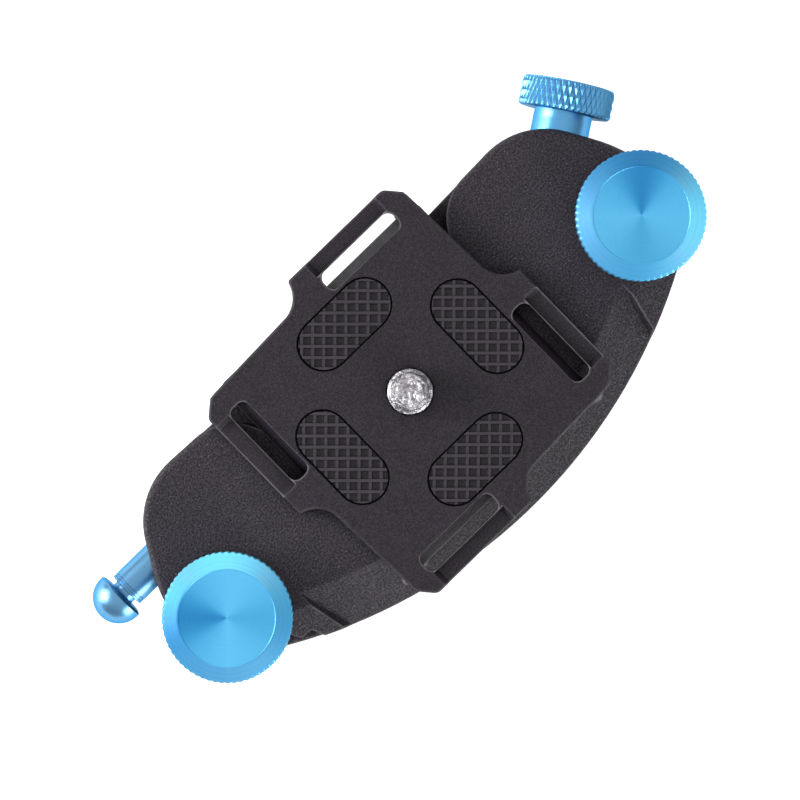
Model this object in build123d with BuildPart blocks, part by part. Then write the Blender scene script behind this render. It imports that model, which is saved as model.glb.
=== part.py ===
from build123d import *
import math
import os

os.makedirs("parts", exist_ok=True)

# Frame: +X along the clip's length (towards the lock screw), +Y towards the open
# end of the channel, +Z up from the rear face of the back plate.  Millimetres.

# ---------------------------------------------------------------- levels in Z
BACK_T = 4.5            # back plate thickness
LINER_PROUD = 0.4       # rubber liner above its metal face
LINER_DEEP = 0.6        # recess that the liner sits in
STRAP_GAP = 4.7         # free gap between the liners as the clip lies open
BODY_Z0 = BACK_T + 2 * LINER_PROUD + STRAP_GAP     # rear face of the front body, 10.0
FLOOR_Z = BODY_Z0 + 4.5                            # channel floor, 14.5
CHEEK_Z = FLOOR_Z + 5.2                            # cheek plateau, 19.7
RIM_Z = CHEEK_Z - 4.2                              # lowest edge of the long sloped facet
PLATE_Z0 = FLOOR_Z + 0.2                           # underside of the quick-release plate
LIP_Z = PLATE_Z0 + 1.6                             # top of the dovetail's straight lip
SLOPE_Z = LIP_Z + 1.2                              # top of the dovetail's slope
DECK_Z0 = CHEEK_Z + 0.3                            # underside of the deck and loops
DECK_T = 2.8
DECK_Z1 = DECK_Z0 + DECK_T                         # top of the plate, 22.8

# ---------------------------------------------------------------- plan outline
ARC_CX, ARC_CY, ARC_R = 0.9, 53.85, 77.0      # lower edge of the body: one long arc
RIDGE_R = 70.3                  # ridge of the sloped facet, on the same centre
TOP_Y = 15.72                   # upper edge at the channel, rising slightly towards the ends
SHOULDER = (36.9, 16.4)
END_X = 45.2                    # rounded ends
KX, KY = 39.2, -4.72            # axes of the clamp knobs, at plus and minus KX

# ---------------------------------------------------------------- channel and plate
LIP_HALF = 18.8                 # half width of the dovetail's lip
NECK_HALF = 17.6
JAW_HALF = 17.9                 # inner edge of the cheeks
JAW_UNDER = 19.0                # undercut under the cheeks
CHANNEL_END = -18.95             # stop wall at the closed end
FLARE_R, FLARE_Y = 8.0, 15.98     # lead-in at the open end
DECK_HALF = 19.0
LOOP_Y = 22.4                  # outer edge of a strap loop
SLOT_X0, SLOT_X1 = 1.9, 15.2
SLOT_TOP, SLOT_Y0, SLOT_Y1 = 16.9, 18.3, 19.95
PAD_L, PAD_W, PAD_C = 14.8, 7.0, 12.8
PAD_DEEP = 1.0

# ---------------------------------------------------------------- screws and pins
STUD_R = 2.95                   # M6 clamp stud
POST_R = 4.0                    # threaded posts of the back plate
POST_TOP = 13.7
SHANK_R = 3.5                   # posts' shanks in the back plate
KNOB_R = 8.95
KNOB_FACE_R = 6.62
WASHER_R, WASHER_T = 7.0, 1.0
CAM_R = 3.175                   # quarter-inch camera thread
CAM_NECK_R = 2.5                # plain neck below it, so that the screw stays in the plate
CAM_TOP = DECK_Z1 + 4.8

PIN_Y, PIN_Z = 7.65, 13.0       # release pin axis, along X
PIN_R, ROD_R = 2.66, 1.3
LOCK_A = 34.0                   # lock screw axis, degrees from +X
LOCK_O = (39.3, 10.95, 14.6)    # a point on its axis, where the neck enters the body
HEAD_R, HEAD_T, NECK_R, NECK_L = 6.5, 4.1, 4.05, 3.4


def finish(bp, name):
    bp.part.label = name
    export_step(bp.part, "parts/" + name + ".step")


def arc_y(x, grow=0.0):
    return ARC_CY - math.sqrt((ARC_R + grow) ** 2 - (x - ARC_CX) ** 2)


# ---------------------------------------------------------------- body outline
# Almost straight top, slanted shoulders, rounded ends and one long arc below.
# The back plate's arc is a little larger.
def body_outline(grow):
    left, right = (-END_X, arc_y(-END_X, grow)), (END_X, arc_y(END_X, grow))
    with BuildSketch(Plane.XY) as sk:
        with BuildLine():
            Polyline(left, (-END_X, 2.2), (-SHOULDER[0], SHOULDER[1]), (-19.0, TOP_Y), (19.0, TOP_Y),
                     SHOULDER, (END_X, 2.2), right)
            ThreePointArc(right, (ARC_CX, ARC_CY - ARC_R - grow), left)
        make_face()
        fillet(sk.vertices().filter_by(lambda v: v.Y > 16), 11.2)
        fillet(sk.vertices().filter_by(lambda v: abs(v.Y - 2.2) < 0.1), 22.0)
        fillet(sk.vertices().filter_by(lambda v: abs(abs(v.X) - END_X) < 0.01 and v.Y < -6), 5.0)
    return sk.sketch


front_outline = body_outline(0.0)
back_outline = body_outline(0.4)


# ---------------------------------------------------------------- front body
# Wedge above the long sloped facet: a cone-sided ring on the arc's centre, kept
# between two leaning side walls near the knobs.
def ring_wedge(r_in, r_out, z_low):
    zx = math.tan(math.atan2(CHEEK_Z - z_low, r_out - r_in))
    with BuildPart() as w:
        with BuildSketch(Plane(origin=(ARC_CX, ARC_CY, 0), x_dir=(1, 0, 0), z_dir=(0, -1, 0))):
            with BuildLine():
                Polyline((r_in - 1.0, CHEEK_Z + zx * 1.0), (r_out + 1.5, z_low - zx * 1.5),
                         (r_out + 1.5, CHEEK_Z + 4), (r_in - 1.0, CHEEK_Z + 4),
                         (r_in - 1.0, CHEEK_Z + zx * 1.0))
            make_face()
        revolve(axis=Axis((ARC_CX, ARC_CY, 0), (0, 0, 1)), revolution_arc=360)
    return w.part


with BuildPart() as facet_main:
    add(ring_wedge(RIDGE_R, ARC_R, RIM_Z))
    with BuildSketch(Plane.XZ):
        with BuildLine():
            Polyline((-27.4, RIM_Z - 1.5), (28.2, RIM_Z - 1.5), (31.4, CHEEK_Z + 0.6),
                     (31.4, CHEEK_Z + 6), (-30.4, CHEEK_Z + 6), (-30.4, CHEEK_Z + 0.6),
                     (-27.4, RIM_Z - 1.5))
        make_face()
    extrude(amount=60, mode=Mode.INTERSECT)

with BuildPart() as facet_ends:
    add(ring_wedge(RIDGE_R + 2.0, ARC_R, CHEEK_Z - 2.3))
    with BuildSketch(Plane.XY.offset(5)):
        Rectangle(120, 60, align=(Align.CENTER, Align.MAX))
    extrude(amount=30, mode=Mode.INTERSECT)
    with BuildSketch(Plane.XY.offset(5)):
        with Locations((KX, KY), (-KX, KY)):
            Circle(8.5)
    extrude(amount=30, mode=Mode.SUBTRACT)

# dovetail channel, open towards +Y, with the same undercut across its closed end
with BuildPart() as channel:
    with BuildSketch(Plane.XY.offset(FLOOR_Z)) as channel_sk:
        with BuildLine():
            Polyline((-JAW_UNDER, 60), (-JAW_UNDER, CHANNEL_END), (JAW_UNDER, CHANNEL_END), (JAW_UNDER, 60), (-JAW_UNDER, 60))
        make_face()
        fillet(channel_sk.vertices().filter_by(lambda v: v.Y < 0), 1.3)
    extrude(amount=CHEEK_Z + 4 - FLOOR_Z)
    with BuildSketch(Plane.XZ.offset(-60)):
        with BuildLine():
            Polyline((-JAW_UNDER, FLOOR_Z), (JAW_UNDER, FLOOR_Z), (JAW_UNDER, LIP_Z + 0.15),
                     (JAW_HALF, LIP_Z + 0.15 + JAW_UNDER - JAW_HALF), (JAW_HALF, CHEEK_Z + 4),
                     (-JAW_HALF, CHEEK_Z + 4), (-JAW_HALF, LIP_Z + 0.15 + JAW_UNDER - JAW_HALF),
                     (-JAW_UNDER, LIP_Z + 0.15), (-JAW_UNDER, FLOOR_Z))
        make_face()
    extrude(amount=90, mode=Mode.INTERSECT)
    with BuildSketch(Plane.YZ.offset(-30)):
        with BuildLine():
            Polyline((CHANNEL_END, FLOOR_Z), (CHANNEL_END, LIP_Z + 0.15), (CHANNEL_END + 1.1, LIP_Z + 1.25),
                     (CHANNEL_END + 1.1, CHEEK_Z + 4), (61, CHEEK_Z + 4), (61, FLOOR_Z), (CHANNEL_END, FLOOR_Z))
        make_face()
    extrude(amount=60, mode=Mode.INTERSECT)

with BuildPart() as front_body:
    with BuildSketch(Plane.XY.offset(BODY_Z0)):
        add(front_outline)
    extrude(amount=CHEEK_Z - BODY_Z0)
    fillet(front_body.faces().sort_by(Axis.Z)[-1].edges(), 0.9)
    chamfer(front_body.faces().sort_by(Axis.Z)[0].edges(), 0.4)
    add(facet_ends.part, mode=Mode.SUBTRACT)
    add(facet_main.part, mode=Mode.SUBTRACT)
    add(channel.part, mode=Mode.SUBTRACT)
    # flared lead-in of both cheeks at the open end
    with BuildSketch(Plane.XY.offset(FLOOR_Z)):
        for sgn in (1, -1):
            with BuildLine():
                Polyline((sgn * (JAW_HALF + FLARE_R), FLARE_Y), (sgn * (JAW_HALF + FLARE_R), FLARE_Y + 4),
                         (sgn * (JAW_HALF - 3), FLARE_Y + 4), (sgn * (JAW_HALF - 3), FLARE_Y - FLARE_R),
                         (sgn * JAW_HALF, FLARE_Y - FLARE_R))
                ThreePointArc((sgn * JAW_HALF, FLARE_Y - FLARE_R),
                              (sgn * (JAW_HALF + FLARE_R * (1 - math.sqrt(0.5))),
                               FLARE_Y - FLARE_R * (1 - math.sqrt(0.5))),
                              (sgn * (JAW_HALF + FLARE_R), FLARE_Y))
            make_face()
    extrude(amount=20, mode=Mode.SUBTRACT)
    # right-hand hole for the pivot post
    with BuildSketch(Plane.XY.offset(BODY_Z0 - 1)):
        with Locations((KX, KY)):
            Circle(POST_R + 0.1)
    extrude(amount=30, mode=Mode.SUBTRACT)
    # left-hand slot, open downwards, so that the back plate can swing out: wide enough
    # for the post below, closer to the stud above
    with BuildSketch(Plane.XY.offset(BODY_Z0 - 1)):
        with BuildLine():
            Polyline((-44.1, KY), (-34.7, KY), (-34.65, -9.0), (-34.4, -12.5), (-34.05, -13.97),
                     (-32.45, -14.0), (-31.75, -15.7), (-31.4, -22.0), (-52.0, -22.0), (-52.0, KY - 3.4), (-44.9, KY - 3.4), (-44.1, KY))
        make_face()
    extrude(amount=POST_TOP + 0.35 - BODY_Z0 + 1, mode=Mode.SUBTRACT)
    with BuildSketch(Plane.XY.offset(BODY_Z0 - 1)):
        with Locations((-KX, KY)):
            Circle(4.8)
    extrude(amount=30, mode=Mode.SUBTRACT)
    with BuildSketch(Plane.XY.offset(POST_TOP)):
        with BuildLine():
            Polyline((-44.0, KY), (-34.4, KY), (-34.75, -11.1), (-34.9, -12.6), (-34.6, -13.3),
                     (-34.05, -13.97), (-32.45, -14.0), (-31.75, -15.7), (-31.4, -22.0), (-52.0, -22.0),
                     (-52.0, KY - 3.4), (-44.8, KY - 3.4), (-44.0, KY))
        make_face()
    extrude(amount=30, mode=Mode.SUBTRACT)
    # recess for the rubber liner on the rear face
    with BuildSketch(Plane.XY.offset(BODY_Z0 - 1)):
        with Locations((0, -1.5)):
            RectangleRounded(58.2, 22.2, 3.1)
    extrude(amount=1 + LINER_DEEP, mode=Mode.SUBTRACT)
    # stepped bore of the release pin, from the left end towards the channel
    with BuildSketch(Plane.YZ.offset(-60)):
        with Locations((PIN_Y, PIN_Z)):
            Circle(PIN_R + 0.06)
    extrude(amount=33.5, mode=Mode.SUBTRACT)
    with BuildSketch(Plane.YZ.offset(-27)):
        with Locations((PIN_Y, PIN_Z)):
            Circle(ROD_R + 0.06)
    extrude(amount=14.0, mode=Mode.SUBTRACT)
    # window in the channel floor above the pin's collar
    with BuildSketch(Plane.XY.offset(PIN_Z)):
        with Locations((-18.9, PIN_Y)):
            Rectangle(2.6, 1.6)
    extrude(amount=FLOOR_Z - PIN_Z + 0.5, mode=Mode.SUBTRACT)
    # tapped hole of the pin's stop screw, from the rear face
    with BuildSketch(Plane.XY.offset(BODY_Z0 - 1)):
        with Locations((-34.5, PIN_Y)):
            Circle(1.5)
    extrude(amount=PIN_Z - BODY_Z0 + 0.2, mode=Mode.SUBTRACT)

# lock screw's stepped bore: counterbore, thread, and the pad's bore into the channel
lock_dir = (math.cos(math.radians(LOCK_A)), math.sin(math.radians(LOCK_A)), 0)
lock_plane = Plane(origin=LOCK_O, x_dir=(0, 0, 1), z_dir=lock_dir)
with BuildPart() as lock_bore:
    with BuildSketch(lock_plane.offset(-2.2)):
        Circle(NECK_R + 0.12)
    extrude(amount=12)
    with BuildSketch(lock_plane.offset(-21.8)):
        Circle(3.0)
    extrude(amount=21.8 - 1.5)
    with BuildSketch(lock_plane.offset(-30)):
        Circle(1.62)
    extrude(amount=9.7)
    with BuildSketch(Plane.XY):
        with Locations((18.6, 0)):
            Rectangle(80, 80, align=(Align.MIN, Align.CENTER))
    extrude(amount=40, mode=Mode.INTERSECT)
with BuildPart() as front_body_done:
    add(front_body.part)
    add(lock_bore.part, mode=Mode.SUBTRACT)
finish(front_body_done, "front_body")

# ---------------------------------------------------------------- liners
with BuildPart() as front_liner:
    with BuildSketch(Plane.XY.offset(BODY_Z0 - LINER_PROUD)):
        with Locations((0, -1.5)):
            RectangleRounded(58, 22, 3.0)
    extrude(amount=LINER_DEEP + LINER_PROUD)
finish(front_liner, "front_liner")

with BuildPart() as back_liner:
    with BuildSketch(Plane.XY.offset(BACK_T - LINER_DEEP)):
        with Locations((0, -1.5)):
            RectangleRounded(58, 22, 3.0)
    extrude(amount=LINER_DEEP + LINER_PROUD)
finish(back_liner, "back_liner")

# ---------------------------------------------------------------- back plate
with BuildPart() as back_plate:
    with BuildSketch(Plane.XY):
        add(back_outline)
    extrude(amount=BACK_T)
    fillet(back_plate.faces().sort_by(Axis.Z)[0].edges(), 1.2)
    fillet(back_plate.faces().sort_by(Axis.Z)[-1].edges(), 0.6)
    with BuildSketch(Plane.XY.offset(BACK_T - LINER_DEEP)):
        with Locations((0, -1.5)):
            RectangleRounded(58.2, 22.2, 3.1)
    extrude(amount=5, mode=Mode.SUBTRACT)
    with BuildSketch(Plane.XY.offset(-1)):
        with Locations((-KX, KY)):
            Circle(SHANK_R)
        with Locations((KX, KY)):
            Circle(SHANK_R + 0.08)
    extrude(amount=BACK_T + 2, mode=Mode.SUBTRACT)
    with BuildSketch(Plane.XY.offset(-1)):
        with Locations((KX, KY)):
            Circle(5.4)
    extrude(amount=2.6, mode=Mode.SUBTRACT)
finish(back_plate, "back_plate")

# ---------------------------------------------------------------- posts of the back plate
with BuildPart() as fixed_post:
    with BuildSketch(Plane.XY.offset(0.3)):
        with Locations((-KX, KY)):
            Circle(SHANK_R)
    extrude(amount=BACK_T - 0.3)
    with BuildSketch(Plane.XY.offset(BACK_T)):
        with Locations((-KX, KY)):
            Circle(POST_R)
    extrude(amount=POST_TOP - BACK_T)
    chamfer(fixed_post.faces().sort_by(Axis.Z)[-1].edges(), 0.4)
    with BuildSketch(Plane.XY):
        with Locations((-KX, KY)):
            Circle(STUD_R + 0.08)
    extrude(amount=20, mode=Mode.SUBTRACT)
finish(fixed_post, "fixed_post")

with BuildPart() as pivot_post:
    with BuildSketch(Plane.XY.offset(0.3)):
        with Locations((KX, KY)):
            Circle(SHANK_R)
    extrude(amount=BACK_T - 0.3 + 0.05)
    with BuildSketch(Plane.XY.offset(BACK_T + 0.05)):
        with Locations((KX, KY)):
            Circle(POST_R)
    extrude(amount=POST_TOP - BACK_T - 0.05)
    chamfer(pivot_post.faces().sort_by(Axis.Z)[-1].edges(), 0.4)
    with BuildSketch(Plane.XY):
        with Locations((KX, KY)):
            Circle(STUD_R + 0.08)
    extrude(amount=20, mode=Mode.SUBTRACT)
    # groove for the retaining ring
    with BuildSketch(Plane.XY.offset(0.7)):
        with Locations((KX, KY)):
            Circle(SHANK_R + 1)
            Circle(SHANK_R - 0.3, mode=Mode.SUBTRACT)
    extrude(amount=0.8, mode=Mode.SUBTRACT)
finish(pivot_post, "pivot_post")

with BuildPart() as pivot_ring:
    with BuildSketch(Plane.XY.offset(0.7)):
        with Locations((KX, KY)):
            Circle(4.9)
            Circle(SHANK_R - 0.3, mode=Mode.SUBTRACT)
        with Locations((KX, KY - 4.5)):
            Rectangle(3.6, 3.2, mode=Mode.SUBTRACT)
    extrude(amount=0.8)
finish(pivot_ring, "pivot_ring")

# ---------------------------------------------------------------- clamp knobs, studs, washers
WASHER_Z = CHEEK_Z + 0.05
KNOB_Z0 = WASHER_Z + WASHER_T + 0.05
KNOB_Z1 = KNOB_Z0 + 5.2
for side, sgn in (("right", 1), ("left", -1)):
    with BuildPart() as knob:
        with BuildSketch(Plane.XZ.offset(-KY)) as knob_sk:
            with BuildLine():
                Polyline((0, KNOB_Z0 + 3.4), (STUD_R, KNOB_Z0 + 3.4), (STUD_R, KNOB_Z0), (5.2, KNOB_Z0),
                         (5.2, KNOB_Z0 + 0.5), (8.3, KNOB_Z0 + 0.5), (KNOB_R, KNOB_Z0 + 0.95),
                         (KNOB_R, KNOB_Z1 - 1.05), (KNOB_R - 0.15, KNOB_Z1 - 0.9),
                         (KNOB_FACE_R, KNOB_Z1), (0, KNOB_Z1 - 0.25), (0, KNOB_Z0 + 3.4))
            make_face()
        revolve(axis=Axis((0, KY, 0), (0, 0, 1)))
    with BuildPart() as knob_placed:
        with Locations((sgn * KX, 0, 0)):
            add(knob.part)
    finish(knob_placed, "clamp_knob_" + side)

    with BuildPart() as stud:
        with BuildSketch(Plane.XY.offset(5.0)):
            with Locations((sgn * KX, KY)):
                Circle(STUD_R)
        extrude(amount=KNOB_Z0 + 3.4 - 5.0)
        chamfer(stud.faces().sort_by(Axis.Z)[0].edges(), 0.5)
    finish(stud, "clamp_stud_" + side)

    with BuildPart() as washer:
        with BuildSketch(Plane.XY.offset(WASHER_Z)):
            with Locations((sgn * KX, KY)):
                Circle(WASHER_R)
                Circle(STUD_R + 0.15, mode=Mode.SUBTRACT)
        extrude(amount=WASHER_T)
    finish(washer, "knob_washer_" + side)

# ---------------------------------------------------------------- quick-release plate
# Deck outline: a square with one strap loop on each side, the same four times.
q = []
for k in range(4):
    a = -90.0 * k
    q.append((math.cos(math.radians(a)), math.sin(math.radians(a))))


def turn(p, k):
    c, s = q[k]
    return (p[0] * c - p[1] * s, p[0] * s + p[1] * c)


arc_mid = (-5.6 + 4.15 * math.sin(math.radians(38)), 23.15 - 4.15 * math.cos(math.radians(38)))
arc_end = (-5.6 + 4.15 * math.sin(math.radians(76)), 23.15 - 4.15 * math.cos(math.radians(76)))
with BuildSketch(Plane.XY.offset(DECK_Z0)) as deck_sk:
    with BuildLine():
        for k in range(4):
            nxt = turn((-5.6, 19.0), (k + 1) % 4)
            ThreePointArc(turn((-5.6, 19.0), k), turn(arc_mid, k), turn(arc_end, k))
            Polyline(turn(arc_end, k), turn((-1.3, LOOP_Y), k), turn((16.4, LOOP_Y), k),
                     turn((18.3, 20.2), k), turn((18.42, 19.4), k), nxt)
    make_face()
    fillet(deck_sk.vertices().filter_by(lambda v: abs(math.hypot(v.X, v.Y) - math.hypot(16.4, LOOP_Y)) < 0.05), 1.2)
    fillet(deck_sk.vertices().filter_by(lambda v: abs(math.hypot(v.X, v.Y) - math.hypot(1.3, LOOP_Y)) < 0.02), 0.35)

with BuildPart() as slot_cut:
    with BuildSketch(Plane.XY.offset(PLATE_Z0 - 1)):
        with Locations(((SLOT_X0 + SLOT_X1) / 2, (SLOT_TOP + SLOT_Y1) / 2)):
            RectangleRounded(SLOT_X1 - SLOT_X0, SLOT_Y1 - SLOT_TOP, 1.2)
    extrude(amount=12)
    with BuildSketch(Plane.YZ):
        with BuildLine():
            Polyline((SLOT_TOP - 0.5, DECK_Z1 + 1.0), (SLOT_Y0, DECK_Z0), (SLOT_Y0, PLATE_Z0 - 2), (SLOT_Y1 + 1, PLATE_Z0 - 2),
                     (SLOT_Y1 + 1, DECK_Z1 + 6), (SLOT_TOP - 0.5, DECK_Z1 + 6), (SLOT_TOP - 0.5, DECK_Z1 + 1.0))
        make_face()
    extrude(amount=30, mode=Mode.INTERSECT)

with BuildPart() as quick_release_plate:
    with BuildSketch(Plane.XY.offset(DECK_Z0)):
        add(deck_sk.sketch)
    extrude(amount=DECK_T)
    chamfer(quick_release_plate.faces().sort_by(Axis.Z)[-1].edges(), 0.25)
    # neck, dovetail slope and lip below the deck
    with BuildSketch(Plane.XY.offset(SLOPE_Z)):
        RectangleRounded(2 * NECK_HALF, 2 * NECK_HALF, 1.0)
    extrude(amount=DECK_Z0 - SLOPE_Z)
    with BuildSketch(Plane.XY.offset(LIP_Z)):
        RectangleRounded(2 * LIP_HALF, 2 * LIP_HALF, 1.6)
    extrude(amount=SLOPE_Z - LIP_Z, taper=45)
    with BuildSketch(Plane.XY.offset(PLATE_Z0)):
        RectangleRounded(2 * LIP_HALF, 2 * LIP_HALF, 1.6)
    extrude(amount=LIP_Z - PLATE_Z0)
    # strap slots, right through, each with a slanted inner wall
    for k in range(4):
        with Locations(Rotation(0, 0, -90 * k)):
            add(slot_cut.part, mode=Mode.SUBTRACT)
    # camera screw: clearance hole, counterbore and ring groove
    with BuildSketch(Plane.XY.offset(PLATE_Z0 - 1)):
        Circle(CAM_R + 0.12)
    extrude(amount=12, mode=Mode.SUBTRACT)
    with BuildSketch(Plane.XY.offset(PLATE_Z0 - 1)):
        Circle(6.5)
    extrude(amount=1 + 3.5, mode=Mode.SUBTRACT)
    with BuildSketch(Plane.XY.offset(PLATE_Z0 + 0.1)):
        Circle(6.95)
    extrude(amount=0.8, mode=Mode.SUBTRACT)
    # recesses of the four grip pads
    with BuildSketch(Plane.XY.offset(DECK_Z1 - PAD_DEEP)):
        for k in range(4):
            with Locations(turn((0, PAD_C), k)):
                SlotOverall(PAD_L + 0.5, PAD_W + 0.5, rotation=-90 * k)
    extrude(amount=5, mode=Mode.SUBTRACT)

# bars of the loops, lowered by cutting a trapezoid across each
with BuildPart() as bar_cuts:
    for k in range(4):
        o = turn((0, 20.0), k)
        with BuildSketch(Plane(origin=(o[0], o[1], 0), x_dir=(-turn((1, 0), k)[0], -turn((1, 0), k)[1], 0),
                               z_dir=(turn((0, 1), k)[0], turn((0, 1), k)[1], 0))):
            with BuildLine():
                Polyline((-15.3, DECK_Z1 + 0.5), (-14.2, DECK_Z1 - 1.0), (-2.4, DECK_Z1 - 1.0),
                         (-1.3, DECK_Z1 + 0.5), (-15.3, DECK_Z1 + 0.5))
            make_face()
        extrude(amount=4)
with BuildPart() as quick_release_plate_done:
    add(quick_release_plate.part)
    add(bar_cuts.part, mode=Mode.SUBTRACT)
finish(quick_release_plate_done, "quick_release_plate")

for k, nm in enumerate(("top", "right", "bottom", "left")):
    with BuildPart() as grip_pad:
        with BuildSketch(Plane.XY.offset(DECK_Z1 - PAD_DEEP)):
            with Locations(turn((0, PAD_C), k)):
                SlotOverall(PAD_L, PAD_W, rotation=-90 * k)
        extrude(amount=PAD_DEEP + 0.1)
    finish(grip_pad, "grip_pad_" + nm)

# ---------------------------------------------------------------- camera screw
HEAD_Z0 = PLATE_Z0 + 1.0
HEAD_Z1 = PLATE_Z0 + 3.4
with BuildPart() as camera_screw:
    with BuildSketch(Plane.XZ):
        with BuildLine():
            Polyline((0, HEAD_Z0), (5.9, HEAD_Z0), (6.2, HEAD_Z0 + 0.3), (6.2, HEAD_Z1), (CAM_NECK_R, HEAD_Z1),
                     (CAM_NECK_R, DECK_Z1 - 0.1), (CAM_R, DECK_Z1 + 0.1),
                     (CAM_R, CAM_TOP - 0.9), (CAM_R - 0.8, CAM_TOP - 0.1), (CAM_R - 1.1, CAM_TOP),
                     (0, CAM_TOP), (0, HEAD_Z0))
        make_face()
    revolve(axis=Axis.Z)
    with BuildSketch(Plane.XY.offset(HEAD_Z0 - 0.5)):
        RegularPolygon(radius=2.0, side_count=6, major_radius=False)
    extrude(amount=0.5 + 1.9, mode=Mode.SUBTRACT)
finish(camera_screw, "camera_screw")

with BuildPart() as screw_ring:
    with BuildSketch(Plane.XY.offset(PLATE_Z0 + 0.15)):
        Circle(6.9)
        Circle(5.3, mode=Mode.SUBTRACT)
        with Locations((0, -6.1)):
            Rectangle(3.0, 3.0, mode=Mode.SUBTRACT)
    extrude(amount=0.7)
finish(screw_ring, "screw_ring")

# ---------------------------------------------------------------- release pin, spring, stop screw
# dome of the head: centred on the pin's axis, through the rim and the apex
PIN_RIM, PIN_APEX, PIN_HEAD_R = -48.4, -52.35, 3.65
dome_r = ((PIN_RIM - PIN_APEX) ** 2 + PIN_HEAD_R ** 2) / (2 * (PIN_RIM - PIN_APEX))
dome_cx = PIN_APEX + dome_r
with BuildPart() as release_pin:
    with BuildSketch(Plane.XY.offset(PIN_Z)):
        with BuildLine():
            Polyline((-17.0, PIN_Y), (-17.0, PIN_Y + ROD_R - 0.3), (-17.3, PIN_Y + ROD_R), (-20.1, PIN_Y + ROD_R),
                     (-20.6, PIN_Y + 0.75), (-23.6, PIN_Y + 0.75), (-24.2, PIN_Y + ROD_R), (-32.0, PIN_Y + ROD_R),
                     (-32.0, PIN_Y + PIN_R), (-33.6, PIN_Y + PIN_R), (-33.6, PIN_Y + 1.9), (-38.6, PIN_Y + 1.9),
                     (-38.6, PIN_Y + PIN_R), (-46.3, PIN_Y + PIN_R), (-46.35, PIN_Y + 2.56), (-46.45, PIN_Y + 2.56),
                     (-46.5, PIN_Y + PIN_R), (-46.7, PIN_Y + PIN_R), (-46.75, PIN_Y + 2.56), (-46.85, PIN_Y + 2.56),
                     (-46.9, PIN_Y + PIN_R), (-47.2, PIN_Y + PIN_R), (-47.25, PIN_Y + 1.8), (-48.05, PIN_Y + 1.8),
                     (-48.1, PIN_Y + 3.4),
                     (PIN_RIM, PIN_Y + PIN_HEAD_R))
            ThreePointArc((PIN_RIM, PIN_Y + PIN_HEAD_R),
                          (dome_cx - dome_r * math.sqrt(0.5), PIN_Y + dome_r * math.sqrt(0.5)), (PIN_APEX, PIN_Y))
            Line((PIN_APEX, PIN_Y), (-17.0, PIN_Y))
        make_face()
    revolve(axis=Axis((0, PIN_Y, PIN_Z), (1, 0, 0)))
finish(release_pin, "release_pin")

SPRING_X0, SPRING_X1 = -31.7, -26.75
with BuildPart() as release_spring:
    with BuildLine() as coil:
        Helix(pitch=1.2, height=SPRING_X1 - SPRING_X0, radius=1.85, center=(SPRING_X0, PIN_Y, PIN_Z), direction=(1, 0, 0))
    with BuildSketch(Plane(origin=coil.line @ 0, z_dir=coil.line % 0)):
        Circle(0.22)
    sweep(path=coil.line, is_frenet=True)
finish(release_spring, "release_spring")

with BuildPart() as pin_stop_screw:
    with BuildSketch(Plane.XY.offset(BODY_Z0 + 0.02)):
        with Locations((-34.5, PIN_Y)):
            Circle(1.5)
            RegularPolygon(radius=0.65, side_count=6, mode=Mode.SUBTRACT)
    extrude(amount=0.24)
    with BuildSketch(Plane.XY.offset(BODY_Z0 + 0.26)):
        with Locations((-34.5, PIN_Y)):
            Circle(0.8)
    extrude(amount=0.74)
finish(pin_stop_screw, "pin_stop_screw")

# ---------------------------------------------------------------- lock screw and its pad
with BuildPart() as lock_screw:
    with BuildSketch(lock_plane.offset(-20.1)):
        Circle(2.9)
    extrude(amount=20.1 - 1.4)
    with BuildSketch(lock_plane.offset(-1.4)):
        Circle(NECK_R)
    extrude(amount=1.4 + NECK_L)
    with BuildSketch(lock_plane.offset(NECK_L)):
        Circle(HEAD_R)
    extrude(amount=HEAD_T)
    chamfer(lock_screw.edges().filter_by(GeomType.CIRCLE).filter_by(lambda e: abs(e.radius - HEAD_R) < 0.01), 0.25)
finish(lock_screw, "lock_screw")

with BuildPart() as lock_pad:
    with BuildSketch(lock_plane.offset(-30)):
        Circle(1.5)
    extrude(amount=30 - 20.25)
    with BuildSketch(Plane.XY):
        with Locations((19.1, 0)):
            Rectangle(80, 80, align=(Align.MIN, Align.CENTER))
    extrude(amount=40, mode=Mode.INTERSECT)
finish(lock_pad, "lock_pad")
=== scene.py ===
import bpy
import bmesh
import math
from mathutils import Matrix, Vector


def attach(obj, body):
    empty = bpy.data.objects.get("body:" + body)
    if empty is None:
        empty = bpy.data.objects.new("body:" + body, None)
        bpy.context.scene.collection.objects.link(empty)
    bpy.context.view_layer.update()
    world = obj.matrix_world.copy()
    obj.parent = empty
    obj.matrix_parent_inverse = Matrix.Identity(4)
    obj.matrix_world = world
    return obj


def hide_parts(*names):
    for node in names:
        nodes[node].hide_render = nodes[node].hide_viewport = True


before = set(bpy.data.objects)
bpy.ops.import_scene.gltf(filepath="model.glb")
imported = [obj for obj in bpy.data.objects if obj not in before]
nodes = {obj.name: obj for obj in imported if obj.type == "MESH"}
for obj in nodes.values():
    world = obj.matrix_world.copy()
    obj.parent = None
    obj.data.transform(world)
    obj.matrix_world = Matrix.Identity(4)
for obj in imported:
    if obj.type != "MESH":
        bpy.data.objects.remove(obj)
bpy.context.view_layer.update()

MM = 0.001
scene = bpy.context.scene
scene.view_settings.view_transform = "Standard"
scene.view_settings.look = "None"

# ------------------------------------------------------------------ sizes, mm
KX, KY = 39.2, -4.72
CHEEK_Z, DECK_Z0, DECK_Z1 = 19.7, 20.0, 22.8
KNOB_Z0, KNOB_Z1, KNOB_R, FACE_R = 20.8, 26.0, 8.93, 6.62
PIN_Y, PIN_Z = 7.65, 13.0
LOCK_O = (39.3, 10.95, 14.6)
LOCK_A = math.radians(34.0)
A_IMG = math.radians(44.18)           # the picture's right-hand direction lies at minus this angle


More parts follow.
